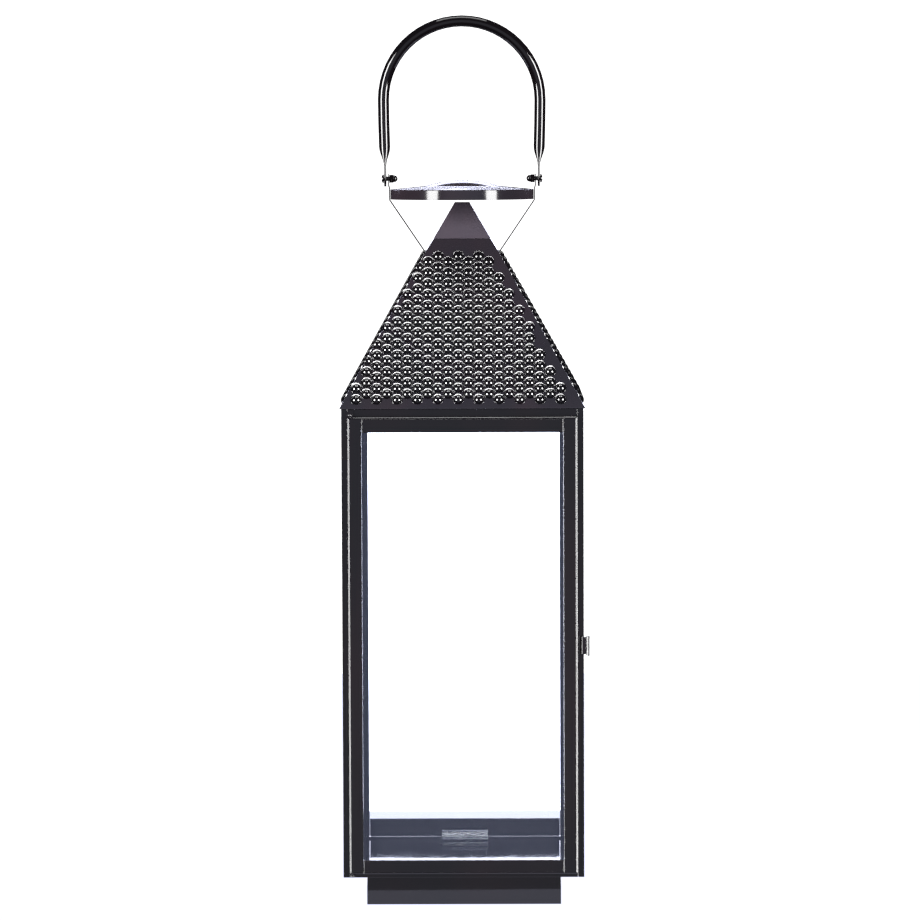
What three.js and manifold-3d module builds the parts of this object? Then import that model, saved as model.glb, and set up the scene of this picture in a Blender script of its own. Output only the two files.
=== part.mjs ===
// Candle lantern: a square glazed body on a plinth, with a hinged glass door, a pyramid roof with a
// chimney, a round smoke cap on two straps, and a bail handle pivoted on the strap ends.
// Millimetres, +Z up, front towards -Y. The origin is the middle of the plinth's underside.
import * as THREE from "three";
import { mergeVertices } from "three/addons/utils/BufferGeometryUtils.js";
import Module from "manifold-3d";

const wasm = await Module();
wasm.setup();

// ---- Driving dimensions ----
const fitGap = 0.3; // between pieces that touch
const sheet = 1.0; // frame and roof sheet metal
const channelSheet = 0.8; // thinner sheet of the glazing channels

const bodyWidth = 210;
const frameHeight = 409; // floor underside to the top of the top frame
const plinthHeight = 26.9;
const plinthSetback = 20; // from the body's side to the plinth's side
const plinthWall = 1.2;

const postBeyondPanel = 0.6; // a corner post is this much wider than a panel is deep
const postFlange = 12; // reach of a post's flanges, from the body's corner
const sillHeight = 3.7;
const floorThickness = 1.7;
const headerHeight = 6.3;
const frameLedge = 12; // width of the top frame's flat ring under the roof
const frameFlange = 14.7; // depth of the top frame's flange behind the panels
const apronInset = 1.8; // header and sill edges stop this far inside the door's rails

const stileWidth = 12.15;
const railWidth = 11.9;
const fixedFootRail = 16; // bottom rail of the three fixed panels
const topRailDrop = 1.6; // top rail sits this far below the stiles' ends
const glassThickness = 2.4;
const glassBite = 6; // glass edge held inside a channel

const doorStandoff = 1.6; // door's back to the posts' front faces
const hingePinDiameter = 2.4;
const hingeBushHeight = 4.5; // filled end of the hinge stile
const bracketSheet = 0.9;
const bracketReach = 2.7; // hinge ear beyond the pin, each way
const bracketTab = 5; // height of the upper bracket's tab on the header
const gussetHeight = 8.5; // lower bracket's gusset on the post
const gussetFoot = 3; // from the body's corner to the gusset's foot
const pinHeadDiameter = 4.4;
const pinHeadHeight = 0.9;

const pullHeight = 15.2;
const pullSheet = 0.8;
const pullOverlap = 9; // part of the pull fixed behind the latch stile
const pullReach = 5.5; // from the body's side to the tip of the lip
const pullFlat = 2; // flat stretch beside the door's edge, before the jog
const lipDiameter = 3.5;
const lipHeight = 17.8;
const pullJog = 2.0; // the pull steps this far forward beside the post

const clipWidth = 42;
const clipHeight = 7.6;
const clipDepth = 12;
const clipLean = 5.5; // foot of the clip's face ahead of its top
const clipSheet = 0.8;
const clipBend = 0.7;

const eaveOverhang = 1.3;
const eaveLip = 1.0;
const roofHeight = 131.1; // eave to the fold
const roofFoldWidth = 67.4;
const collarHeight = 14.1; // plain collar between the fold and the chimney's seam
const collarTuck = 5; // collar hidden inside the chimney
const chimneyHeight = 45.9; // fold to the chimney's top
const chimneyTopWidth = 13;

const smokeGap = 2.5; // chimney top to the smoke cap's rim
const capDiameter = 126.7;
const capSheet = 1.2;
const rimHeight = 9;
const rimRounding = 0.8;
const coneRise = 2.8;
const domeDiameter = 66;
const domeRise = 5.2;

const strapWidth = 12;
const strapSheet = 0.9;
const strapBend = 1.2; // centreline bend radius
const strapFoot = 10; // height of the foot inside the collar
const slotRun = 14; // length of the slot's cut along the strap
const slotPlay = 1; // free space round a strap in its slot
const earWidth = 8.4;
const pivotAboveRim = 9.3;
const earLean = 0.8; // outward step of the ear above the rim
const leanHeight = 3.5; // height over which the ear steps out

const screwDiameter = 4;
const screwHeadDiameter = 7.5;
const screwHeadHeight = 2.1;
const pivotPlay = 1.6; // free space between strap ear and handle end
const nutAcrossFlats = 7;
const nutHexHeight = 3.4;
const nutLength = 7.2;
const nutDomeDiameter = 6.1;
const nutBore = 5;
const screwSlotWidth = 0.9;
const screwSlotDepth = 0.9;

const tubeDiameter = 10;
const archRise = 69.7; // pivot to the arch's centre
const armSpread = 1.3; // the arms lean outwards by this much up to the arch
const tabThickness = 2;
const tabWidth = 13.8;
const flatEnd = 11.2; // above the pivot, where the tube starts to open out
const tubeStart = 28.2; // above the pivot, where the tube is fully round
const flatSquareness = 0.25; // a flattened section's power: 1 is an ellipse, 0 a rectangle
const leastWidth = 0.4; // of the section that closes a handle end

const roundSegments = 64; // smoke cap
const smallSegments = 20; // pins, screws and nuts
const tubeSegments = 16;
const archSteps = 28;
const taperSteps = 6;
const domeSteps = 8;
const bendSteps = 5;
const endSteps = 12; // half round of a strap's ear

// ---- Levels and planes worked out from them ----
const half = bodyWidth / 2;
const bodyBottom = plinthHeight + fitGap;
const frameTop = bodyBottom + frameHeight;
const floorTop = bodyBottom + floorThickness;
const sillTop = bodyBottom + sillHeight;
const headerBottom = frameTop - headerHeight;
const panelDepth = glassThickness + 2 * (channelSheet + fitGap);
const postWidth = panelDepth + postBeyondPanel;
const panelInset = postWidth + fitGap; // body corner to a panel's edge
const panelWidth = bodyWidth - 2 * panelInset;
const panelBottom = sillTop + fitGap;
const panelHeight = headerBottom - fitGap - panelBottom;
const openingWidth = panelWidth - 2 * stileWidth;
const openingTop = panelHeight - topRailDrop - railWidth;
const flangePlane = panelDepth + fitGap; // body face to the flanges behind the panels

const eaveLevel = frameTop + fitGap;
const foldLevel = eaveLevel + roofHeight;
const seamLevel = foldLevel + collarHeight;
const chimneyTop = foldLevel + chimneyHeight;
const eaveHalf = half + eaveOverhang;
const foldHalf = roofFoldWidth / 2;
const roofSlope = (eaveHalf - foldHalf) / (roofHeight - eaveLip);
const chimneySlope = (foldHalf - chimneyTopWidth / 2) / chimneyHeight;
const roofSheet = sheet * Math.hypot(1, roofSlope); // sheet measured level
const chimneySheet = sheet * Math.hypot(1, chimneySlope);
const chimneyHalfAt = (z) => foldHalf - chimneySlope * (z - foldLevel);

const rimBottom = chimneyTop + smokeGap;
const rimTop = rimBottom + rimHeight;
const capRadius = capDiameter / 2;
const pivotLevel = rimTop + pivotAboveRim;
const strapOut = capRadius + fitGap + strapSheet / 2; // strap centreline beside the rim
const earOut = strapOut + earLean;
const tabOut = earOut + strapSheet / 2 + pivotPlay + tabThickness / 2;
const archRadius = tabOut + armSpread;
const screwHole = screwDiameter / 2 + fitGap;

const hingeX = -half + panelInset + panelDepth / 2;
const hingeY = -half - doorStandoff - panelDepth / 2;
const doorTop = panelBottom + panelHeight;

// ---- Materials ----
const blackLacquer = new THREE.MeshStandardMaterial({
  color: 0x26232a,
  roughness: 0.12,
  metalness: 0.1,
});
const clearGlass = new THREE.MeshStandardMaterial({
  color: 0xdfe6ea,
  roughness: 0.03,
  metalness: 0,
  transparent: true,
  opacity: 0.25,
});
const brightSteel = new THREE.MeshStandardMaterial({
  color: 0x8d8e96,
  roughness: 0.3,
  metalness: 0.9,
});

// ---- Solid helpers ----
function solid(geometry) {
  const bare = geometry.clone();
  bare.deleteAttribute("normal");
  bare.deleteAttribute("uv");
  const merged = mergeVertices(bare, 1e-4);
  return new wasm.Manifold(
    new wasm.Mesh({
      numProp: 3,
      vertProperties: merged.attributes.position.array,
      triVerts: new Uint32Array(merged.index.array),
    }),
  );
}

function geometryOf(manifold) {
  const mesh = manifold.getMesh();
  const indexed = new THREE.BufferGeometry();
  indexed.setAttribute("position", new THREE.BufferAttribute(new Float32Array(mesh.vertProperties), 3));
  indexed.setIndex(new THREE.BufferAttribute(new Uint32Array(mesh.triVerts), 1));
  const flat = indexed.toNonIndexed();
  flat.computeVertexNormals();
  return flat;
}

const join = (first, ...others) =>
  geometryOf(others.reduce((sum, g) => sum.add(solid(g)), solid(first)));
const cut = (first, ...others) =>
  geometryOf(others.reduce((sum, g) => sum.subtract(solid(g)), solid(first)));
const common = (first, second) => geometryOf(solid(first).intersect(solid(second)));

function block([x0, x1], [y0, y1], [z0, z1]) {
  const box = new THREE.BoxGeometry(x1 - x0, y1 - y0, z1 - z0);
  return box.translate((x0 + x1) / 2, (y0 + y1) / 2, (z0 + z1) / 2);
}

function outline(points) {
  return new THREE.Shape(points.map(([x, y]) => new THREE.Vector2(x, y)));
}

// A plan outline (x, y) raised from z0 to z1.
function raised(points, [z0, z1]) {
  const made = new THREE.ExtrudeGeometry(outline(points), { depth: z1 - z0, bevelEnabled: false });
  return made.translate(0, 0, z0);
}

// A side outline (y, z) run along X from x0 to x1.
function alongX(points, [x0, x1]) {
  const made = new THREE.ExtrudeGeometry(outline(points), { depth: x1 - x0, bevelEnabled: false });
  made.rotateY(Math.PI / 2).rotateX(Math.PI / 2);
  return made.translate(x0, 0, 0);
}

// A front outline (x, z) run along Y from y0 to y1.
function alongY(points, [y0, y1]) {
  const made = new THREE.ExtrudeGeometry(outline(points), { depth: y1 - y0, bevelEnabled: false });
  return made.rotateX(Math.PI / 2).translate(0, y1, 0);
}

// A profile of [radius, z], anticlockwise, turned about Z. Off the axis it closes on itself.
function turned(profile, segments = roundSegments) {
  const closed = profile[0][0] > 0 ? [...profile, profile[0]] : profile;
  const points = closed.map(([r, z]) => new THREE.Vector2(r, z));
  return new THREE.LatheGeometry(points, segments).rotateX(Math.PI / 2);
}

// The same profile taken round a square: its radius is the square's half width.
function squared(profile) {
  const corners = profile.map(([r, z]) => [r * Math.SQRT2, z]);
  return turned(corners, 4).rotateZ(Math.PI / 4);
}

function rod(radius, length, segments = smallSegments) {
  return new THREE.CylinderGeometry(radius, radius, length, segments).rotateX(Math.PI / 2);
}

const rodAlongX = (radius, [x0, x1], segments) =>
  rod(radius, x1 - x0, segments).rotateY(Math.PI / 2).translate((x0 + x1) / 2, 0, 0);

// An open path with each inner corner rounded by an arc of the given radius.
function rounded(path, radius) {
  const corner = (i) => {
    const [before, here, after] = [path[i - 1], path[i], path[i + 1]].map((p) => new THREE.Vector2(...p));
    const back = before.clone().sub(here).normalize();
    const on = after.clone().sub(here).normalize();
    const angle = Math.acos(THREE.MathUtils.clamp(back.dot(on), -1, 1));
    const reach = radius / Math.tan(angle / 2);
    const centre = back.clone().add(on).normalize().multiplyScalar(radius / Math.sin(angle / 2)).add(here);
    const start = back.multiplyScalar(reach).add(here).sub(centre);
    const end = on.multiplyScalar(reach).add(here).sub(centre);
    const turn = Math.atan2(start.cross(end), start.dot(end));
    return Array.from({ length: bendSteps + 1 }, (_, k) =>
      start.clone().rotateAround(new THREE.Vector2(), (turn * k) / bendSteps).add(centre).toArray(),
    );
  };
  return [path[0], ...path.slice(1, -1).flatMap((_, i) => corner(i + 1)), path.at(-1)];
}

// The closed outline of a strip of even thickness that follows an open path.
function stripOutline(path, thickness) {
  const points = path.map((p) => new THREE.Vector2(...p));
  const side = (sign) =>
    points.map((p, i) => {
      const into = points[Math.max(i, 1)].clone().sub(points[Math.max(i, 1) - 1]).normalize();
      const last = Math.min(i, points.length - 2);
      const out = points[last + 1].clone().sub(points[last]).normalize();
      const along = into.clone().add(out).normalize();
      const width = (sign * thickness) / 2 / Math.max(along.dot(out), 0.5);
      return [p.x - along.y * width, p.y + along.x * width];
    });
  return [...side(-1), ...side(1).reverse()];
}

const lantern = new THREE.Group();
lantern.name = "candle_lantern";

function place(name, geometry, material = blackLacquer, parent = lantern) {
  const mesh = new THREE.Mesh(geometry, material);
  mesh.name = name;
  parent.add(mesh);
  return mesh;
}

// ---- Body frame ----
// A corner post in plan: a square bar with a flange behind the panel on each side. A door post's front
// flange is level with the body's face instead, behind the door's stile.
function cornerPost(besideDoor) {
  const corner = (from, to) => [-half + from, -half + to];
  const flangeBottom = panelBottom;
  const flangeTop = frameTop - frameFlange - fitGap;
  const behindPanel = corner(flangePlane, flangePlane + sheet);
  const bar = block(corner(0, postWidth), corner(0, postWidth), [bodyBottom, frameTop]);
  const reach = corner(flangePlane, postFlange);
  const side = block(behindPanel, reach, [flangeBottom, flangeTop]);
  const front = besideDoor
    ? block(reach, corner(0, sheet), [flangeBottom, headerBottom - fitGap])
    : block(reach, behindPanel, [flangeBottom, flangeTop]);
  return join(bar, side, front);
}

function addPosts() {
  place("corner_post_front_left", cornerPost(true));
  place("corner_post_front_right", cornerPost(true)).scale.x = -1;
  place("corner_post_back_right", cornerPost(false)).rotation.z = Math.PI;
  place("corner_post_back_left", cornerPost(false)).rotation.z = -Math.PI / 2;
}

// Squares cut out of a ring's corners so that the posts run up past it.
function cornerNotches([z0, z1]) {
  const out = [half - panelInset, half + 1];
  const back = [-half - 1, panelInset - half];
  return [out, back].flatMap((x) => [out, back].map((y) => block(x, y, [z0, z1])));
}

// A strip between the door posts that closes the gap behind one of the door's rails.
function apron([z0, z1]) {
  const reach = half - postFlange - fitGap;
  return block([-reach, reach], [-half, -half + sheet], [z0, z1]);
}

function addTopFrame() {
  const ring = squared([
    [half, headerBottom],
    [half, frameTop],
    [half - frameLedge, frameTop],
    [half - frameLedge, frameTop - sheet],
    [half - flangePlane - sheet, frameTop - sheet],
    [half - flangePlane - sheet, frameTop - frameFlange],
    [half - flangePlane, frameTop - frameFlange],
    [half - flangePlane, frameTop - sheet],
    [half - sheet, frameTop - sheet],
    [half - sheet, headerBottom],
  ]);
  const lowEdge = panelBottom + openingTop + apronInset;
  const notched = cut(ring, ...cornerNotches([frameTop - frameFlange - 1, frameTop + 1]));
  place("top_frame", join(notched, apron([lowEdge, frameTop - sheet / 2])));
}

function addFloorPan() {
  const inside = half - flangePlane - sheet;
  const pan = squared([
    [0, bodyBottom],
    [half, bodyBottom],
    [half, sillTop],
    [inside, sillTop],
    [inside, floorTop],
    [0, floorTop],
  ]);
  const highEdge = panelBottom + railWidth - apronInset;
  const notched = cut(pan, ...cornerNotches([bodyBottom - 1, sillTop + 1]));
  place("floor_pan", join(notched, apron([bodyBottom, highEdge])));
}

function addPlinth() {
  const outer = half - plinthSetback;
  const inner = outer - plinthWall;
  const tray = squared([
    [0, 0],
    [outer, 0],
    [outer, plinthHeight],
    [inner, plinthHeight],
    [inner, plinthWall],
    [0, plinthWall],
  ]);
  place("base_plinth", tray);
}

// A folded strip on the floor against the back panel.
function addBackClip() {
  const low = floorTop + fitGap + clipSheet / 2;
  const back = half - flangePlane - sheet - fitGap;
  const path = [
    [back, low],
    [back - clipDepth, low],
    [back - clipDepth + clipLean, low + clipHeight],
    [back, low + clipHeight],
  ];
  const side = stripOutline(rounded(path, clipBend), clipSheet);
  place("back_clip", alongX(side, [-clipWidth / 2, clipWidth / 2]), brightSteel);
}

// ---- Glazed panels ----
// Panel frame: X across from the panel's middle, Y from its outer face inwards, Z up from its foot.
// The section of a glazing channel: its web at 0, its legs reaching to the given width.
function channelSection(width) {
  const [near, far] = [channelSheet, panelDepth - channelSheet];
  return [
    [0, 0],
    [width, 0],
    [width, near],
    [near, near],
    [near, far],
    [width, far],
    [width, panelDepth],
    [0, panelDepth],
  ];
}

function stile() {
  return raised(channelSection(stileWidth), [0, panelHeight]).translate(-panelWidth / 2, 0, 0);
}

function rail(width = railWidth) {
  const upright = channelSection(width).map(([across, deep]) => [deep, across]);
  const reach = openingWidth / 2 - fitGap;
  return alongX(upright.reverse(), [-reach, reach]);
}

function pane(footRail = railWidth) {
  const reach = openingWidth / 2 + glassBite;
  const near = channelSheet + fitGap;
  const height = [footRail - glassBite, openingTop + glassBite];
  return block([-reach, reach], [near, near + glassThickness], height);
}

const turnedRound = (geometry) => geometry.rotateZ(Math.PI).translate(0, panelDepth, 0);

function topRail() {
  const level = panelHeight - topRailDrop;
  return rail().rotateX(Math.PI).translate(0, panelDepth, level);
}

function addFixedPanel(side, angle) {
  const panel = new THREE.Group();
  panel.rotation.z = angle;
  panel.position.set(half * Math.sin(angle), -half * Math.cos(angle), panelBottom);
  place(side + "_stile_a", stile(), blackLacquer, panel);
  place(side + "_stile_b", turnedRound(stile()), blackLacquer, panel);
  place(side + "_bottom_rail", rail(fixedFootRail), blackLacquer, panel);
  place(side + "_top_rail", topRail(), blackLacquer, panel);
  place(side + "_glass", pane(fixedFootRail), clearGlass, panel);
  lantern.add(panel);
}

// ---- Door ----
// The hinge stile's ends are filled and bored for the pins.
function hingeStile() {
  const inset = channelSheet / 2;
  const left = -panelWidth / 2;
  const across = [left + inset, left + stileWidth - glassBite - 2 * fitGap];
  const deep = [inset, panelDepth - inset];
  const low = block(across, deep, [0, hingeBushHeight]);
  const high = block(across, deep, [panelHeight - hingeBushHeight, panelHeight]);
  const bore = rod(hingePinDiameter / 2 + fitGap, panelHeight + 2);
  bore.translate(hingeX, panelDepth / 2, panelHeight / 2);
  return cut(join(stile(), low, high), bore);
}

function addDoor() {
  const door = new THREE.Group();
  door.position.set(0, hingeY - panelDepth / 2, panelBottom);
  place("door_hinge_stile", hingeStile(), blackLacquer, door);
  place("door_latch_stile", turnedRound(stile()), blackLacquer, door);
  place("door_bottom_rail", rail(), blackLacquer, door);
  place("door_top_rail", topRail(), blackLacquer, door);
  place("door_glass", pane(), clearGlass, door);
  lantern.add(door);
}

// A flat strip behind the latch stile that steps forward beside the post and ends in a rolled lip.
function addDoorPull() {
  const level = panelBottom + panelHeight / 2;
  const y = -half - doorStandoff + fitGap + pullSheet / 2;
  const edge = half - panelInset;
  const lip = half + pullReach - lipDiameter / 2;
  const path = [
    [edge - pullOverlap, y],
    [edge + pullFlat, y],
    [edge + pullFlat + pullJog, y - pullJog],
    [lip, y - pullJog],
  ];
  const strip = raised(stripOutline(path, pullSheet), [level - pullHeight / 2, level + pullHeight / 2]);
  const roll = rod(lipDiameter / 2, lipHeight).translate(lip, y - pullJog, level);
  place("door_pull", join(strip, roll));
}

// A hinge bracket: an ear level with the pin's end and a tab on the body's face.
function hingeBracket([earLow, earHigh], tabOutline) {
  const across = [hingeX - bracketReach, hingeX + bracketReach];
  const face = -half - fitGap;
  const ear = block(across, [hingeY - bracketReach, face], [earLow, earHigh]);
  const tab = alongY(tabOutline, [face - bracketSheet, face]);
  const bore = rod(hingePinDiameter / 2 + fitGap, 4 * bracketSheet);
  bore.translate(hingeX, hingeY, (earLow + earHigh) / 2);
  return cut(join(ear, tab), bore);
}

// A headed pin that stands on z = 0 under its head.
function hingePin() {
  const shank = rod(hingePinDiameter / 2, bracketSheet + 2 * fitGap + hingeBushHeight + pinHeadHeight / 2);
  shank.translate(0, 0, (bracketSheet + 2 * fitGap + hingeBushHeight - pinHeadHeight / 2) / 2);
  const head = rod(pinHeadDiameter / 2, pinHeadHeight).translate(0, 0, -pinHeadHeight / 2);
  return join(head, shank);
}

function addHinges() {
  const [left, right] = [hingeX - bracketReach, hingeX + bracketReach];
  const low = panelBottom - fitGap;
  const high = doorTop + fitGap;
  const foot = bodyBottom + fitGap;
  const beside = -half + panelInset - fitGap;
  const gusset = [
    [-half + gussetFoot, foot],
    [right, foot],
    [right, low],
    [beside, low],
    [beside, foot + gussetHeight],
    [beside - bracketSheet, foot + gussetHeight],
  ];
  const tab = [
    [left, high],
    [right, high],
    [right, high + bracketTab],
    [left, high + bracketTab],
  ];
  place("hinge_bracket_lower", hingeBracket([low - bracketSheet, low], gusset));
  place("hinge_bracket_upper", hingeBracket([high, high + bracketSheet], tab));
  place("hinge_pin_lower", hingePin()).position.set(hingeX, hingeY, low - bracketSheet - fitGap);
  const upper = place("hinge_pin_upper", hingePin());
  upper.position.set(hingeX, hingeY, high + bracketSheet + fitGap);
  upper.rotation.x = Math.PI;
}

// ---- Roof and chimney ----
function addRoof() {
  const tuck = chimneySheet + fitGap * Math.hypot(1, chimneySlope);
  const shoulder = seamLevel - fitGap;
  const tuckTop = seamLevel + collarTuck;
  const shell = squared([
    [eaveHalf - roofSheet, eaveLevel],
    [eaveHalf, eaveLevel],
    [eaveHalf, eaveLevel + eaveLip],
    [foldHalf, foldLevel],
    [chimneyHalfAt(shoulder), shoulder],
    [chimneyHalfAt(shoulder) - tuck, shoulder],
    [chimneyHalfAt(tuckTop) - tuck, tuckTop],
    [chimneyHalfAt(tuckTop) - tuck - chimneySheet, tuckTop],
    [chimneyHalfAt(shoulder) - tuck - chimneySheet, shoulder],
    [chimneyHalfAt(shoulder) - tuck - chimneySheet, shoulder - sheet],
    [chimneyHalfAt(shoulder - sheet) - chimneySheet, shoulder - sheet],
    [foldHalf - chimneySheet, foldLevel],
    [eaveHalf - roofSheet, eaveLevel + eaveLip],
  ]);
  const right = strapSlot();
  const left = strapSlot().rotateZ(Math.PI);
  place("roof_shell", cut(shell, right, left));
}

function addChimney() {
  const foot = chimneyHalfAt(seamLevel);
  const top = chimneyTopWidth / 2;
  const shell = squared([
    [foot - chimneySheet, seamLevel],
    [foot, seamLevel],
    [top, chimneyTop],
    [top - chimneySheet, chimneyTop],
  ]);
  place("chimney_cap", shell);
}

// ---- Smoke cap ----
function addSmokeCap() {
  const domeRadius = domeDiameter / 2;
  const domeFoot = rimTop + coneRise;
  const ball = (domeRadius ** 2 + domeRise ** 2) / (2 * domeRise);
  const dome = Array.from({ length: domeSteps + 1 }, (_, i) => {
    const r = domeRadius * (1 - i / domeSteps);
    return [r, domeFoot + domeRise - ball + Math.sqrt(ball ** 2 - r ** 2)];
  });
  const shoulder = Array.from({ length: bendSteps + 1 }, (_, i) => {
    const turn = (i / bendSteps) * (Math.PI / 2);
    const reach = capRadius - rimRounding + rimRounding * Math.cos(turn);
    return [reach, rimTop - rimRounding + rimRounding * Math.sin(turn)];
  });
  const inner = [...dome].reverse().map(([r, z]) => [r, z - capSheet]);
  const shell = turned([
    ...inner,
    [capRadius - capSheet, rimTop - capSheet],
    [capRadius - capSheet, rimBottom],
    [capRadius, rimBottom],
    ...shoulder,
    ...dome,
  ]);
  place("smoke_cap", shell);
}

// ---- Cap straps ----
// The strap's centreline on the right, as [x, z]: a foot inside the collar, out through a slot at the
// fold, up to the rim, along it, and a step out to the ear.
function strapFold() {
  const inFromFace = chimneySheet + (fitGap + strapSheet / 2) * Math.hypot(1, chimneySlope);
  return [foldHalf - inFromFace, foldLevel];
}

const underRim = () => [strapOut, rimBottom - strapSheet / 2];

function strapPath() {
  const [foldX, foldZ] = strapFold();
  return rounded(
    [
      [foldX - chimneySlope * strapFoot, foldZ + strapFoot],
      [foldX, foldZ],
      underRim(),
      [strapOut, rimTop],
      [earOut, rimTop + leanHeight],
      [earOut, pivotLevel + earWidth / 2],
    ],
    strapBend,
  );
}

// The slot runs along the strap's own line where that crosses the collar.
function strapSlot() {
  const start = new THREE.Vector2(...strapFold());
  const end = new THREE.Vector2(...underRim());
  const out = end.sub(start).setLength(slotRun).add(start);
  const line = [start.toArray(), out.toArray()];
  const reach = strapWidth / 2 + slotPlay;
  return alongY(stripOutline(line, strapSheet + 2 * slotPlay), [-reach, reach]);
}

// The strap's width seen along X: even up to the rim, then narrowing to a round end about the pivot.
function strapFace() {
  const wide = strapWidth / 2;
  const end = earWidth / 2;
  const cap = Array.from({ length: endSteps + 1 }, (_, i) => {
    const turn = (i / endSteps) * Math.PI;
    return [end * Math.cos(turn), pivotLevel + end * Math.sin(turn)];
  });
  const foot = foldLevel - strapFoot;
  return [[-wide, foot], [wide, foot], [wide, rimTop], ...cap, [-wide, rimTop]];
}

function capStrap() {
  const reach = strapWidth / 2 + 1;
  const strip = alongY(stripOutline(strapPath(), strapSheet), [-reach, reach]);
  const face = alongX(strapFace(), [0, earOut + strapSheet]);
  const hole = rodAlongX(screwHole, [earOut - strapSheet, earOut + strapSheet]).translate(0, 0, pivotLevel);
  return cut(common(strip, face), hole);
}

function addStraps() {
  place("cap_strap_right", capStrap());
  place("cap_strap_left", capStrap()).rotation.z = Math.PI;
}

// ---- Handle pivots ----
// Screw and nut lie along X from the strap ear: the screw's head outside the handle, the nut inside.
function domed(radius, straight, rise) {
  const cap = Array.from({ length: bendSteps + 1 }, (_, i) => {
    const turn = (i / bendSteps) * (Math.PI / 2);
    return [radius * Math.cos(turn), straight + rise * Math.sin(turn)];
  });
  return turned([[0, 0], [radius, 0], ...cap], smallSegments);
}

function pivotScrew() {
  const headFace = tabOut + tabThickness / 2 + fitGap;
  const tip = earOut - strapSheet / 2 - nutBore;
  const edge = screwHeadHeight / 3;
  const head = domed(screwHeadDiameter / 2, edge, screwHeadHeight - edge).rotateY(Math.PI / 2);
  head.translate(headFace, 0, 0);
  const shank = rodAlongX(screwDiameter / 2, [tip, headFace + edge]);
  const top = headFace + screwHeadHeight;
  const [across, wide] = [screwHeadDiameter, screwSlotWidth / 2];
  const slot = block([top - screwSlotDepth, top + 1], [-across, across], [-wide, wide]);
  return cut(join(head, shank), slot);
}

function pivotNut() {
  const hex = rod(nutAcrossFlats / Math.sqrt(3), nutHexHeight, 6).translate(0, 0, nutHexHeight / 2);
  const crown = nutDomeDiameter / 2;
  const dome = domed(crown, nutLength - crown, crown);
  const bore = rod(screwHole, 2 * nutBore);
  const face = earOut - strapSheet / 2 - fitGap;
  return cut(join(hex, dome), bore).rotateY(-Math.PI / 2).translate(face, 0, 0);
}

function addPivots() {
  for (const [side, angle] of [["right", 0], ["left", Math.PI]]) {
    for (const [name, made] of [["pivot_screw_", pivotScrew()], ["pivot_nut_", pivotNut()]]) {
      const piece = place(name + side, made);
      piece.rotation.z = angle;
      piece.position.z = pivotLevel;
    }
  }
}

// ---- Handle ----
// Rings of points joined into one closed skin, with a fan over each end.
function loft(rings) {
  const count = rings[0].length;
  const middle = (ring) => ring.reduce((sum, p) => sum.add(p), new THREE.Vector3()).divideScalar(count);
  const vertices = [...rings.flat(), middle(rings[0]), middle(rings.at(-1))];
  const [first, last] = [vertices.length - 2, vertices.length - 1];
  const end = (rings.length - 1) * count;
  const faces = [];
  for (let k = 0; k < count; k++) {
    const next = (k + 1) % count;
    faces.push(first, k, next, last, end + next, end + k);
    for (let i = 0; i < rings.length - 1; i++) {
      const [a, b] = [i * count + k, i * count + next];
      faces.push(a, b + count, b, a, a + count, b + count);
    }
  }
  const skin = new THREE.BufferGeometry().setFromPoints(vertices);
  skin.setIndex(faces);
  return skin;
}

// The arm's section at a height above the pivot: flat and rounded about the pivot, then opening to a tube.
function armSection(height) {
  const flat = 1 - THREE.MathUtils.smoothstep(height, flatEnd, tubeStart);
  const round = tabWidth / 2;
  const below = Math.min(height, 0);
  const wide = Math.max(Math.sqrt(round ** 2 - below ** 2), leastWidth / 2);
  return {
    thick: THREE.MathUtils.lerp(tubeDiameter, tabThickness, flat) / 2,
    wide: THREE.MathUtils.lerp(tubeDiameter / 2, wide, flat),
    square: THREE.MathUtils.lerp(1, flatSquareness, flat),
  };
}

function sectionRing(centre, normal, { thick, wide, square }) {
  const bulge = (v) => Math.sign(v) * Math.abs(v) ** square;
  return Array.from({ length: tubeSegments }, (_, k) => {
    const turn = (2 * Math.PI * k) / tubeSegments;
    return centre
      .clone()
      .addScaledVector(normal, thick * bulge(Math.cos(turn)))
      .add(new THREE.Vector3(0, wide * bulge(Math.sin(turn)), 0));
  });
}

function addHandle() {
  const round = tabWidth / 2;
  const share = Array.from({ length: taperSteps + 1 }, (_, i) => i / taperSteps);
  const foot = share.map((s) => -round * Math.cos((s * Math.PI) / 2));
  const opening = share.map((s) => THREE.MathUtils.lerp(flatEnd, tubeStart, s));
  const rise = [...foot, ...opening, (tubeStart + archRise) / 2];
  const leanAt = (h) => THREE.MathUtils.smoothstep(h, 0, archRise) * armSpread;
  const arm = (sign) =>
    rise.map((h) => {
      const centre = new THREE.Vector3(sign * (tabOut + leanAt(h)), 0, pivotLevel + h);
      return sectionRing(centre, new THREE.Vector3(sign, 0, 0), armSection(h));
    });
  const arch = Array.from({ length: archSteps + 1 }, (_, i) => {
    const turn = (Math.PI * i) / archSteps;
    const normal = new THREE.Vector3(-Math.cos(turn), 0, Math.sin(turn));
    const centre = normal.clone().multiplyScalar(archRadius);
    centre.z += pivotLevel + archRise;
    return sectionRing(centre, normal, armSection(archRise));
  });
  const skin = loft([...arm(-1), ...arch, ...arm(1).reverse()]);
  const holes = [-1, 1].map((sign) => {
    const reach = [tabOut - 2 * tabThickness, tabOut + 2 * tabThickness];
    const hole = rodAlongX(screwHole, reach).translate(0, 0, pivotLevel);
    return sign > 0 ? hole : hole.rotateZ(Math.PI);
  });
  place("handle_bail", cut(skin, ...holes));
}

addPosts();
addTopFrame();
addFloorPan();
addPlinth();
addBackClip();
addFixedPanel("right", Math.PI / 2);
addFixedPanel("back", Math.PI);
addFixedPanel("left", -Math.PI / 2);
addDoor();
addDoorPull();
addHinges();
addRoof();
addChimney();
addSmokeCap();
addStraps();
addPivots();
addHandle();

export default lantern;
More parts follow.
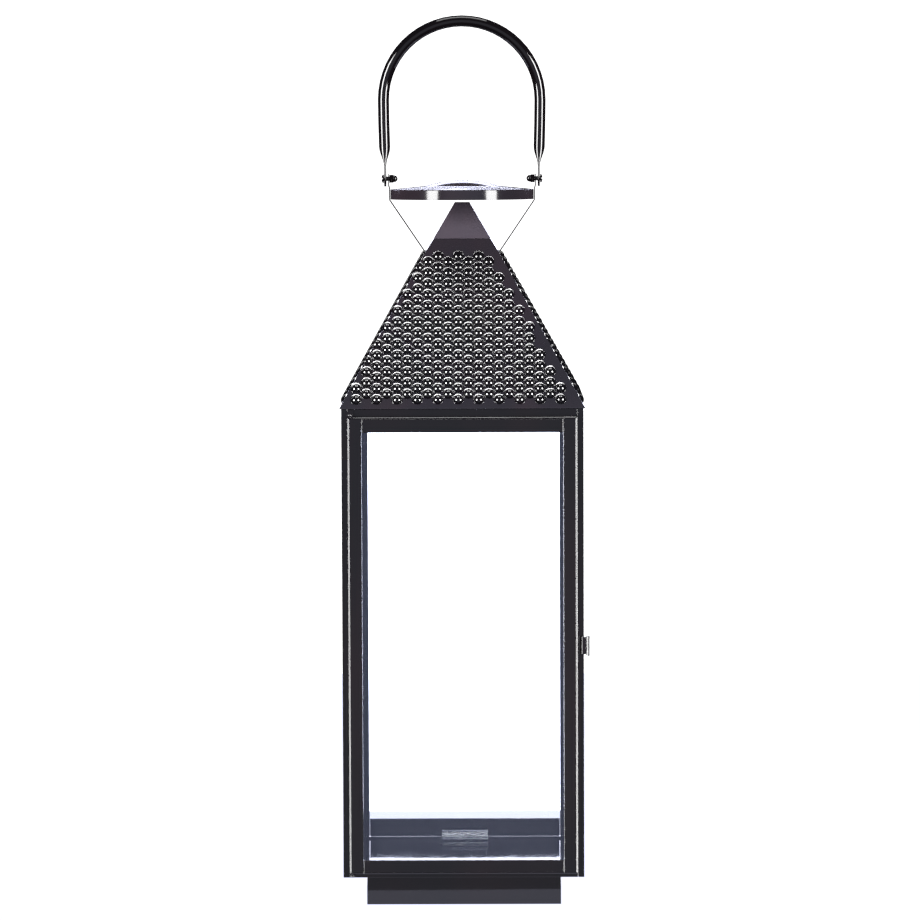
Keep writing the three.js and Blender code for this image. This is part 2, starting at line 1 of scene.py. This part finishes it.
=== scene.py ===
"""Looks for the candle lantern: black lacquer, clear glass and a dimpled roof, in a white studio.

Metres, +Z up, front towards -Y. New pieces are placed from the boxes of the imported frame's nodes; the
pattern of the dimples, the studio and the camera are values of their own.
"""

import math

import bpy
import numpy as np
from mathutils import Matrix, Vector


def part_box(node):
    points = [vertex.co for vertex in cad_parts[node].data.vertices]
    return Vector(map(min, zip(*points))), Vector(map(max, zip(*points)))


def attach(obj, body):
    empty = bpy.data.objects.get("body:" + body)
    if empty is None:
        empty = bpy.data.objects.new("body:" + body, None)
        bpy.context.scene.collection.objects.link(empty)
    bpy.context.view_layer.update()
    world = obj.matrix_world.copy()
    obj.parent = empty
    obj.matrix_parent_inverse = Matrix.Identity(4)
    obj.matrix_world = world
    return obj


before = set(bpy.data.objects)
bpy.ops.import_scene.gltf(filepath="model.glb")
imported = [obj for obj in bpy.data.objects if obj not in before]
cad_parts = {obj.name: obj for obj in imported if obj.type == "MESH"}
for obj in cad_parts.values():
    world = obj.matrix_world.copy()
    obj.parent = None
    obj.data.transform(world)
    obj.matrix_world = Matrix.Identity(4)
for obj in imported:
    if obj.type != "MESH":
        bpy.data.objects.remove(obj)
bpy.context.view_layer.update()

MM = 0.001

# ---- Boxes read from the frame ----
ROOF_LOW, ROOF_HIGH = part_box("roof_shell")
CHIMNEY_LOW, CHIMNEY_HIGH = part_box("chimney_cap")


# ---- Materials ----
class Nodes:
    """A material's node tree, with short calls to add and join nodes."""

    def __init__(self, name):
        self.material = bpy.data.materials.new(name)
        self.material.use_nodes = True
        self.tree = self.material.node_tree
        self.shader = self.tree.nodes["Principled BSDF"]
        self.place = self.add("ShaderNodeTexCoord").outputs["Object"]

    def add(self, kind, **settings):
        node = self.tree.nodes.new(kind)
        for key, value in settings.items():
            if key in node.inputs:
                node.inputs[key].default_value = value
            else:
                setattr(node, key, value)
        return node

    def join(self, source, target):
        self.tree.links.new(source, target)

    def noise(self, scale, detail=2.0, stretch=(1, 1, 1), distortion=0.0):
        scaled = self.add("ShaderNodeMapping")
        scaled.inputs["Scale"].default_value = stretch
        self.join(self.place, scaled.inputs["Vector"])
        noise = self.add("ShaderNodeTexNoise", Scale=scale, Detail=detail, Distortion=distortion)
        self.join(scaled.outputs["Vector"], noise.inputs["Vector"])
        return noise.outputs["Fac"]

    def ramp(self, value, *stops):
        ramp = self.add("ShaderNodeValToRGB")
        elements = ramp.color_ramp.elements
        for element, (at, colour) in zip(elements, stops):
            element.position, element.color = at, (*colour, 1)
        for at, colour in stops[2:]:
            elements.new(at).color = (*colour, 1)
        self.join(value, ramp.inputs["Fac"])
        return ramp.outputs["Color"]

    def spread(self, value, low, high, start=0.3, end=0.7):
        spread = self.add("ShaderNodeMapRange")
        for key, number in zip(("From Min", "From Max", "To Min", "To Max"), (start, end, low, high)):
            spread.inputs[key].default_value = number
        self.join(value, spread.inputs["Value"])
        return spread.outputs["Result"]

    def bump(self, height, distance, strength=1.0, after=None):
        bump = self.add("ShaderNodeBump", Strength=strength, Distance=distance)
        self.join(height, bump.inputs["Height"])
        if after is not None:
            self.join(after, bump.inputs["Normal"])
        return bump.outputs["Normal"]


ENAMEL_IOR = 1.53
ENAMEL_COOL = (0.0013, 0.0012, 0.0016)
ENAMEL_WARM = (0.0029, 0.0017, 0.0021)
SMEAR_ROUGHNESS = 0.05  # added where the enamel is smeared
PEEL_HEIGHT = 0.004 * MM


def lacquer(name, waviness=0.1 * MM, gloss=0.03, painted_lift=1.0, shine=0.5):
    """Gloss black enamel over sheet metal: violet-black, faint smears and a slightly wavy sheet.

    waviness is the height of the sheet's waves, gloss the lowest roughness, painted_lift the times that the
    base colour is lightened, painted light that stands in for the brighter reflections of a part, and shine
    the specular level.
    """
    n = Nodes(name)
    n.shader.inputs["IOR"].default_value = ENAMEL_IOR
    n.shader.inputs["Specular IOR Level"].default_value = shine
    # painted light: the base colour is raised by this factor, so copies above 1 are lit copies of the one
    # enamel
    cool, warm = (tuple(painted_lift * channel for channel in shade) for shade in (ENAMEL_COOL, ENAMEL_WARM))
    colour = n.ramp(n.noise(9, 3, (1, 1, 0.35)), (0.45, cool), (0.8, warm))
    n.join(colour, n.shader.inputs["Base Color"])
    smears = n.noise(38, 5, (1, 1, 0.3), 0.6)
    n.join(n.spread(smears, gloss, gloss + SMEAR_ROUGHNESS), n.shader.inputs["Roughness"])
    sheet_wave = n.bump(n.noise(7, 1), waviness)
    peel = n.bump(n.noise(650, 2), PEEL_HEIGHT, after=sheet_wave)
    n.join(peel, n.shader.inputs["Normal"])
    return n.material


GLASS_IOR = 1.5
# painted reflection: the glass glows faint blue in place of the dim room that it would reflect
GLASS_PAINTED_GLOW = (0.43, 0.52, 1)
GLASS_PAINTED_GLOW_STRENGTH = 0.022
WIPE_ROUGHNESS = 0.012


def glass(name):
    """Float glass: clear, with a blue-green breath of tint, faint wipe marks and a faint blue glow that is a
    painted reflection of the room.
    """
    n = Nodes(name)
    n.shader.inputs["Transmission Weight"].default_value = 1
    n.shader.inputs["IOR"].default_value = GLASS_IOR
    # painted reflection: a faint blue glow stands in for the room seen in the glass
    n.shader.inputs["Emission Color"].default_value = (*GLASS_PAINTED_GLOW, 1)
    n.shader.inputs["Emission Strength"].default_value = GLASS_PAINTED_GLOW_STRENGTH
    tint = n.ramp(n.noise(3, 1), (0.3, (0.955, 0.975, 0.985)), (0.7, (0.965, 0.98, 0.985)))
    n.join(tint, n.shader.inputs["Base Color"])
    wipes = n.noise(14, 4, (1, 1, 0.4), 0.8)
    n.join(n.spread(wipes, 0.0, WIPE_ROUGHNESS, 0.45, 0.8), n.shader.inputs["Roughness"])
    return n.material


STEEL_DARK, STEEL_LIGHT = (0.30, 0.31, 0.34), (0.46, 0.47, 0.51)
ROLLING_DEPTH = 0.02 * MM


def steel(name):
    """Plain bright sheet steel with rolling marks across it."""
    n = Nodes(name)
    n.shader.inputs["Metallic"].default_value = 1
    grain = n.noise(220, 4, (0.08, 1, 3))
    n.join(n.ramp(grain, (0.3, STEEL_DARK), (0.7, STEEL_LIGHT)), n.shader.inputs["Base Color"])
    n.join(n.spread(grain, 0.16, 0.34), n.shader.inputs["Roughness"])
    n.join(n.bump(grain, ROLLING_DEPTH), n.shader.inputs["Normal"])
    return n.material


LACQUER = lacquer("black_lacquer")
LACQUER_FLAT = lacquer("black_lacquer_flat", waviness=0.01 * MM)
LACQUER_PLINTH = lacquer("black_lacquer_plinth", waviness=0.8 * MM)
LACQUER_ROUND = lacquer("black_lacquer_round", waviness=0.06 * MM)
# painted light: the chimney, cap and roof copies of the one black enamel have their base colour raised 28, 9
# and 9 times, standing in for the greys that their reflections show; the chimney's satin roughness is real
LACQUER_SATIN_PAINTED_LIGHT = lacquer("black_lacquer_satin_painted_light", gloss=0.36, painted_lift=28)
LACQUER_CAP_PAINTED_LIGHT = lacquer("black_lacquer_cap_painted_light", waviness=0.4 * MM, gloss=0.09, painted_lift=9, shine=0.35)
LACQUER_ROOF_PAINTED_LIGHT = lacquer("black_lacquer_roof_painted_light", waviness=0.4 * MM, gloss=0.14, painted_lift=9)
GLASS = glass("clear_glass")
STEEL = steel("bright_steel")


# ---- Mesh helpers ----
def paint(obj, material):
    """Puts a material in each of an object's slots; a new mesh gets its one slot first."""
    if not obj.material_slots:
        obj.data.materials.append(None)
    for slot in obj.material_slots:
        slot.material = material
    return obj


def new_piece(name, vertices, faces, material=LACQUER, body="root"):
    mesh = bpy.data.meshes.new(name)
    mesh.from_pydata([tuple(v) for v in vertices], [], [tuple(f) for f in faces])
    mesh.shade_smooth()
    piece = bpy.data.objects.new(name, mesh)
    bpy.context.scene.collection.objects.link(piece)
    paint(piece, material)
    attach(piece, body)
    return piece


WELD_REACH = 0.02 * MM
FLAT_WITHIN = math.radians(1)  # facets closer than this to one plane become one face


def smooth_shading():
    """Node group of a modifier that shades a mesh smooth, without the normals that it came with."""
    group = bpy.data.node_groups.new("smooth_shading", "GeometryNodeTree")
    for way in ("INPUT", "OUTPUT"):
        group.interface.new_socket("Geometry", in_out=way, socket_type="NodeSocketGeometry")
    source, sink = group.nodes.new("NodeGroupInput"), group.nodes.new("NodeGroupOutput")
    normals = group.nodes.new("GeometryNodeSetMeshNormal")
    normals.inputs["Remove Custom"].default_value = True
    group.links.new(source.outputs[0], normals.inputs["Mesh"])
    group.links.new(normals.outputs["Mesh"], sink.inputs[0])
    return group


SMOOTH_SHADING = smooth_shading()


def smooth_skin(name, material):
    """Shades a CAD node's facets as one smooth skin and gives it its finish; its own mesh is kept."""
    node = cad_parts[name]
    node.modifiers.new("shading", "NODES").node_group = SMOOTH_SHADING
    node.modifiers.new("weld", "WELD").merge_threshold = WELD_REACH
    return paint(node, material)


def soften(name, width, material=LACQUER, segments=3, crease=30):
    """Rounds the edges of a CAD node that are sharper than crease degrees and gives it its finish."""
    node = smooth_skin(name, material)
    planes = node.modifiers.new("planes", "DECIMATE")
    planes.decimate_type = "DISSOLVE"
    planes.angle_limit = FLAT_WITHIN
    bevel = node.modifiers.new("edges", "BEVEL")
    bevel.width, bevel.segments = width, segments
    bevel.limit_method, bevel.angle_limit = "ANGLE", math.radians(crease)
    bevel.harden_normals = True


# ---- Finishes of the CAD nodes ----
SHEET_EDGE = 0.38 * MM  # bevel of folded sheet
SMALL_EDGE = 0.25 * MM
GLASS_EDGE = 0.2 * MM
DOME_CREASE = 9  # degrees, so that the line where the cap's dome meets its cone stays crisp
FOLDED = ("corner_post", "_stile", "_rail", "top_frame")
FINISHES = {
    "floor_pan": LACQUER_FLAT,
    "base_plinth": LACQUER_PLINTH,
    "chimney_cap": LACQUER_SATIN_PAINTED_LIGHT,
    "roof_shell": LACQUER_ROOF_PAINTED_LIGHT,
}


def finish_node(name, node):
    if name.endswith("glass"):
        soften(name, GLASS_EDGE, GLASS, 1)
    elif name == "back_clip":
        soften(name, GLASS_EDGE, STEEL)
    elif "bracket" in name or name.startswith("cap_strap"):
        paint(node, LACQUER_FLAT)
    elif name == "handle_bail":
        smooth_skin(name, LACQUER_ROUND)
    elif name == "smoke_cap":
        soften(name, SHEET_EDGE, LACQUER_CAP_PAINTED_LIGHT, crease=DOME_CREASE)
    elif name in FINISHES:
        soften(name, SHEET_EDGE, FINISHES[name])
    elif any(word in name for word in FOLDED):
        soften(name, SHEET_EDGE)
    else:
        soften(name, SMALL_EDGE, LACQUER_ROUND)


for name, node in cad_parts.items():
    finish_node(name, node)


# ---- Roof dimples ----
DIMPLE_BALL = 5.2 * MM
DIMPLE_FLARE = 0.3 * MM  # radius of the hollow foot that runs out into the sheet
DIMPLE_STEEP = math.radians(62)  # steepest slope, where the ball meets its foot
DIMPLE_HEIGHT = (DIMPLE_BALL + DIMPLE_FLARE) * (1 - math.cos(DIMPLE_STEEP))
DIMPLE_RADIUS = (DIMPLE_BALL + DIMPLE_FLARE) * math.sin(DIMPLE_STEEP)
DIMPLE_PROUD = 0.02 * MM  # clear of the sheet, so that no face lies in the roof's own
LIP_RADIUS = 0.52 * MM
LIP_TIP = 0.25  # of its radius, at the ends
LIP_REACH = math.radians(72)  # to each side of the top of a dimple
COLUMN_PITCH = 8.86 * MM
ROW_PITCH = 5.385 * MM
ROWS = 27
FIRST_ROW = 7.8 * MM  # up the slope from the eave
COLUMN_SHIFT = -3.3 * MM
COLUMNS_EACH_SIDE = 8  # more than the widest row holds
LEFT_MARGIN = 0.15 * DIMPLE_RADIUS
RIGHT_MARGIN = 7.0 * MM + 0.4 * DIMPLE_RADIUS
EAVE_LIP = 1.0 * MM
FOLD_DROP = 14.1 * MM  # the chimney's seam to the fold
TOP_WITHIN = 0.01 * MM  # of the chimney's highest level


def chimney_top_half():
    points = (v.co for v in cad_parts["chimney_cap"].data.vertices)
    return max(point.x for point in points if point.z > CHIMNEY_HIGH.z - TOP_WITHIN)


def fold_half():
    """Half width of the roof at its fold, from the chimney's own slope carried down."""
    foot = CHIMNEY_HIGH.x
    slope = (foot - chimney_top_half()) / (CHIMNEY_HIGH.z - CHIMNEY_LOW.z)
    return foot + slope * FOLD_DROP


def dimple(rings=6, around=20):
    """One pressed dimple's points and faces: a part of a ball on a hollow foot that meets z = 0."""
    slopes = [DIMPLE_STEEP * (i + 1) / rings for i in range(rings)]
    profile = [(DIMPLE_BALL * math.sin(t), DIMPLE_HEIGHT - DIMPLE_BALL * (1 - math.cos(t))) for t in slopes]
    foot = [DIMPLE_STEEP * (rings - 1 - i) / rings for i in range(rings)]
    profile += [(DIMPLE_RADIUS - DIMPLE_FLARE * math.sin(t), DIMPLE_FLARE * (1 - math.cos(t))) for t in foot]
    points, faces = [(0, 0, DIMPLE_HEIGHT)], [(0, 1 + k, 1 + (k + 1) % around) for k in range(around)]
    for ring, (across, rise) in enumerate(profile):
        turns = [2 * math.pi * k / around for k in range(around)]
        points += [(across * math.cos(turn), across * math.sin(turn), rise) for turn in turns]
        if ring:
            inner, outer = 1 + (ring - 1) * around, 1 + ring * around
            for k in range(around):
                on = (k + 1) % around
                faces += [(inner + k, outer + k, outer + on), (inner + k, outer + on, inner + on)]
    return np.array(points), np.array(faces)


def lip(steps=9, around=6):
    """The fine raised lip round a dimple's upper side: a tapering wire along its edge."""
    points, faces = [], []
    for step in range(steps + 1):
        turn = LIP_REACH * (2 * step / steps - 1)
        taper = math.cos(turn / LIP_REACH * math.pi / 2)
        thick = LIP_RADIUS * (LIP_TIP + (1 - LIP_TIP) * taper)
        for k in range(around):
            roll = 2 * math.pi * k / around
            across = DIMPLE_RADIUS + thick * math.cos(roll)
            points.append((across * math.sin(turn), across * math.cos(turn), thick * math.sin(roll)))
    for step in range(steps):
        inner, outer = step * around, (step + 1) * around
        for k in range(around):
            on = (k + 1) % around
            faces += [(inner + k, inner + on, outer + on), (inner + k, outer + on, outer + k)]
    return np.array(points), np.array(faces)


def dimple_places(eave, fold, length):
    """Centres (across, up the slope) of the staggered dimples on one face, clear of its right hip.

    The face is eave wide to each side at its foot, fold wide at its top, and length long up the slope.
    """
    places = []
    for row in range(ROWS):
        up = FIRST_ROW + row * ROW_PITCH
        half = eave + (fold - eave) * up / length
        first = COLUMN_SHIFT + (row % 2) * COLUMN_PITCH
        for k in range(-COLUMNS_EACH_SIDE, COLUMNS_EACH_SIDE + 1):
            across = first + 2 * k * COLUMN_PITCH
            if -half + LEFT_MARGIN < across < half - RIGHT_MARGIN:
                places.append((across, up))
    return places


def on_the_roof(name, shape):
    """One piece made of the given points and faces repeated at every dimple's place on four faces."""
    eave, fold = ROOF_HIGH.x, fold_half()
    foot_z, fold_z = ROOF_LOW.z + EAVE_LIP, CHIMNEY_LOW.z - FOLD_DROP
    slope = Vector((0, eave - fold, fold_z - foot_z))
    up = slope.normalized()
    out = Vector((0, -up.z, up.y))
    narrowing = (fold - eave) / slope.length
    one, one_faces = shape
    points, faces = [], []
    for turn in range(4):
        spin = Matrix.Rotation(turn * math.pi / 2, 3, "Z")
        axes = np.array([spin @ axis for axis in (Vector((1, 0, 0)), up, out)])
        foot = np.array(spin @ Vector((0, -eave, foot_z)))
        for across, rise in dimple_places(eave, fold, slope.length):
            faces.append(one_faces + len(points) * len(one))
            placed = one + [across, rise, DIMPLE_PROUD]
            hip = eave + narrowing * placed[:, 1]
            placed[:, 0] = np.clip(placed[:, 0], -hip, hip)  # nothing stands out past a hip
            points.append(foot + placed @ axes)
    return new_piece(name, np.concatenate(points), np.concatenate(faces), LACQUER_ROUND)


roof_dimples = on_the_roof("roof_dimples", dimple())
roof_lips = on_the_roof("roof_dimple_lips", lip())


# ---- Rolled edge round the door ----
ROLL_RADIUS = 0.95 * MM
ROLL_PROUD = 0.2 * MM


def rod(start, end, radius, around=20):
    """Points and faces of an open round rod between two points."""
    along = (end - start).normalized()
    side = along.cross(Vector((0, 1, 0))).normalized()
    spokes = [Matrix.Rotation(2 * math.pi * k / around, 3, along) @ side * radius for k in range(around)]
    points = [list(middle + spoke) for middle in (start, end) for spoke in spokes]
    return points, [(k, (k + 1) % around, around + (k + 1) % around, around + k) for k in range(around)]


def add_door_roll():
    """A closed round edge along the four outer sides of the door's face."""
    low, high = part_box("door_hinge_stile")[0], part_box("door_latch_stile")[1]
    y = low.y + ROLL_RADIUS - ROLL_PROUD
    left, right = low.x + ROLL_RADIUS, high.x - ROLL_RADIUS
    foot, top = low.z + ROLL_RADIUS, high.z - ROLL_RADIUS
    corners = [Vector((x, y, z)) for x, z in ((left, foot), (right, foot), (right, top), (left, top))]
    points, faces = [], []
    for start, end in zip(corners, corners[1:] + corners[:1]):
        rod_points, rod_faces = rod(start, end, ROLL_RADIUS)
        faces += [tuple(i + len(points) for i in face) for face in rod_faces]
        points += rod_points
    return new_piece("door_rolled_edge", points, faces, LACQUER_FLAT, body="door")


door_roll = add_door_roll()


# ---- Studio ----
def softbox(name, position, target, size, radiance):
    light = bpy.data.lights.new(name, "AREA")
    light.shape, light.size, light.size_y = "RECTANGLE", *size
    light.energy = radiance * math.pi * size[0] * size[1]
    obj = bpy.data.objects.new(name, light)
    bpy.context.scene.collection.objects.link(obj)
    obj.location = position
    obj.rotation_euler = (Vector(target) - Vector(position)).to_track_quat("-Z", "Y").to_euler()
    obj.visible_camera = False
    return obj


def around(azimuth, distance, z):
    """A point at an azimuth from the front, as seen from above, positive to the right."""
    a = math.radians(azimuth)
    return Vector((distance * math.sin(a), -distance * math.cos(a), z))


def lit_group(name, pieces):
    """A set of pieces that a light is kept to, as a flag or a snoot would keep it."""
    group = bpy.data.collections.new(name)
    for piece in pieces:
        group.objects.link(piece)
    return group


def keep_to(group, *lights):
    """Links lights, or a glowing sheet, to one group of pieces."""
    for light in lights:
        light.light_linking.receiver_collection = group


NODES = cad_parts
CAP = NODES["smoke_cap"]
BODY = [node for name, node in NODES.items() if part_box(name)[1].z < ROOF_LOW.z + MM] + [door_roll]
THIN = [node for name, node in NODES.items() if name.startswith(("handle", "cap_strap", "pivot"))]
TARGET = (0, 0, 0.5)
CEILING_Z = 2.45
SIDES = (-1, 1)


def add_lights():
    """Area lights by place, aim, size and radiance; most are kept to the pieces that need them."""
    main = [softbox("softbox", around(side * 48, 2.4, 1.05), TARGET, (0.8, 1.4), 30) for side in SIDES]
    keep_to(lit_group("cad_pieces", [*NODES.values(), door_roll]), *main)

    spots = [
        softbox("dimple_softbox", around(side * 44, 2.4, 1.15), TARGET, (0.9, 0.9), 75) for side in SIDES
    ]
    panels = [
        softbox("dimple_panel", (side * 0.42, -0.15, CEILING_Z), (side * 0.42, -0.15, 0), (0.18, 0.35), 60)
        for side in SIDES
    ]
    rim_light = softbox("dimple_rim_light", (-0.15, 0.85, 1.06), (0, 0, 0.52), (2.2, 0.6), 4)
    keep_to(lit_group("dimples", [roof_dimples, roof_lips]), rim_light, *spots, *panels)

    lip_light = softbox("lip_light", (-0.25, 0, 2.3), TARGET, (3.2, 1.5), 110)
    keep_to(lit_group("lips", [roof_lips]), lip_light)

    softbox("ceiling_panel", (0, -0.15, CEILING_Z), (0, -0.15, 0), (1.1, 0.9), 4)

    strips = [
        softbox("low_strip", around(side * 46, 2.2, -0.02), (0, 0, -0.02), (0.45, 0.85), 95)
        for side in SIDES
    ]
    high_strip = softbox("high_strip", (0, -0.95, 2.3), TARGET, (1.2, 0.35), 32)
    edged = [piece for piece in BODY if piece != NODES["back_clip"]]
    keep_to(lit_group("edged_pieces", edged), high_strip, *strips)


add_lights()


def stage_plane(name, corners, material):
    mesh = bpy.data.meshes.new(name)
    mesh.from_pydata(corners, [], [(0, 1, 2, 3)])
    obj = bpy.data.objects.new(name, mesh)
    bpy.context.scene.collection.objects.link(obj)
    paint(obj, material)
    return obj


SHEET_GLOW = (0.94, 0.96, 1.2)


def glowing(name, base, strength):
    """A lit sheet: a pale diffusing face with light behind it."""
    n = Nodes(name)
    cloudy = n.ramp(n.noise(5, 3), (0.3, (base,) * 3), (0.7, (base * 1.05,) * 3))
    n.join(cloudy, n.shader.inputs["Base Color"])
    n.shader.inputs["Roughness"].default_value = 0.9
    n.shader.inputs["Specular IOR Level"].default_value = 0
    n.shader.inputs["Emission Color"].default_value = (*SHEET_GLOW, 1)
    n.shader.inputs["Emission Strength"].default_value = strength
    return n.material


FLOOR_SIDE, FLOOR_FRONT, FLOOR_BACK = 1.5, -0.16, 1.6


def add_floor():
    """A light table that starts just in front of the lantern."""
    side, front, back = FLOOR_SIDE, FLOOR_FRONT, FLOOR_BACK
    corners = [(-side, front, 0), (side, front, 0), (side, back, 0), (-side, back, 0)]
    stage_plane("floor", corners, glowing("light_table", 0.05, 1.08))


BACKDROP_LEFT, BACKDROP_RIGHT, BACKDROP_Y = -0.85, 0.78, 0.46


def add_backdrop(name, low, high, strength, pieces):
    """A lit sheet behind the lantern that shows only in the reflections of the given pieces."""
    left, right, y = BACKDROP_LEFT, BACKDROP_RIGHT, BACKDROP_Y
    corners = [(left, y, low), (right, y, low), (right, y, high), (left, y, high)]
    sheet = stage_plane(name, corners, glowing(name, 0.02, strength))
    sheet.visible_camera = sheet.visible_diffuse = sheet.visible_shadow = False
    keep_to(lit_group(name + "_pieces", pieces), sheet)


add_floor()
backed = [node for node in NODES.values() if node not in THIN + [CAP]]
add_backdrop("backdrop", 0, 0.81, 8, backed + [door_roll])
add_backdrop("cap_backdrop", 0.68, 0.83, 5.5, [CAP])


# ---- World ----
ROOM_FRONT = 0.34  # brightness of the room behind the camera, in reflections
ROOM_DARK = 0.02
FRONT_FADE = (-0.82, -0.92)  # Y of the direction where the bright front starts and is full
HEIGHT_FADE = (0.45, 0.2)  # Z of the direction where it has ended and is still full
ROOM_TINT = (0.93, 0.96, 1.12, 1)
WHITE = (1, 1, 1, 1)
WHITE_STRENGTH = 1.6  # well over 1, so that the background is pure white


def make_world():
    """White where it is seen straight on; a dim room in the reflections, lighter towards the camera."""
    world = bpy.data.worlds.new("studio")
    bpy.context.scene.world = world
    world.use_nodes = True
    tree = world.node_tree
    add, link = tree.nodes.new, tree.links.new

    def calculate(operation, *values):
        node = add("ShaderNodeMath")
        node.operation = operation
        for socket, value in zip(node.inputs, values):
            if isinstance(value, (int, float)):
                socket.default_value = value
            else:
                link(value, socket)
        return node.outputs[0]

    def fade(value, start, end):
        node = add("ShaderNodeMapRange")
        node.interpolation_type = "SMOOTHSTEP"
        node.inputs["From Min"].default_value, node.inputs["From Max"].default_value = start, end
        link(value, node.inputs["Value"])
        return node.outputs["Result"]

    parts = add("ShaderNodeSeparateXYZ")
    link(add("ShaderNodeTexCoord").outputs["Generated"], parts.inputs[0])
    towards_camera = fade(parts.outputs["Y"], *FRONT_FADE)
    low = fade(parts.outputs["Z"], *HEIGHT_FADE)
    room = calculate("MULTIPLY_ADD", calculate("MULTIPLY", towards_camera, low), ROOM_FRONT, ROOM_DARK)
    path = add("ShaderNodeLightPath")
    bounced = calculate("ADD", path.outputs["Glossy Depth"], path.outputs["Diffuse Depth"])
    straight = calculate("LESS_THAN", bounced, 0.5)
    tint = add("ShaderNodeMix")
    tint.data_type = "RGBA"
    link(straight, tint.inputs["Factor"])
    tint.inputs["A"].default_value, tint.inputs["B"].default_value = ROOM_TINT, WHITE
    background = tree.nodes["Background"]
    link(tint.outputs["Result"], background.inputs["Color"])
    strength = calculate("MAXIMUM", room, calculate("MULTIPLY", straight, WHITE_STRENGTH))
    link(strength, background.inputs["Strength"])


make_world()
bpy.context.scene.view_settings.view_transform = "Standard"


# ---- Camera ----
LENS, SENSOR = 174.43, 36  # millimetres, as Blender's camera takes them
CAMERA_PLACE = (0.0194, -3.955, 0.6717)
CAMERA_HEADING, CAMERA_DIP, CAMERA_ROLL = 0.32, 4.155, -0.211  # degrees


def turned(degrees, axis):
    return Matrix.Rotation(math.radians(degrees), 4, axis)


def make_camera():
    data = bpy.data.cameras.new("camera")
    data.lens, data.sensor_width = LENS, SENSOR
    data.clip_start, data.clip_end = 0.1, 50
    camera = bpy.data.objects.new("camera", data)
    bpy.context.scene.collection.objects.link(camera)
    camera.location = CAMERA_PLACE
    facing = turned(CAMERA_HEADING, "Z") @ turned(90 - CAMERA_DIP, "X") @ turned(CAMERA_ROLL, "Z")
    camera.rotation_euler = facing.to_euler()
    bpy.context.scene.camera = camera


make_camera()
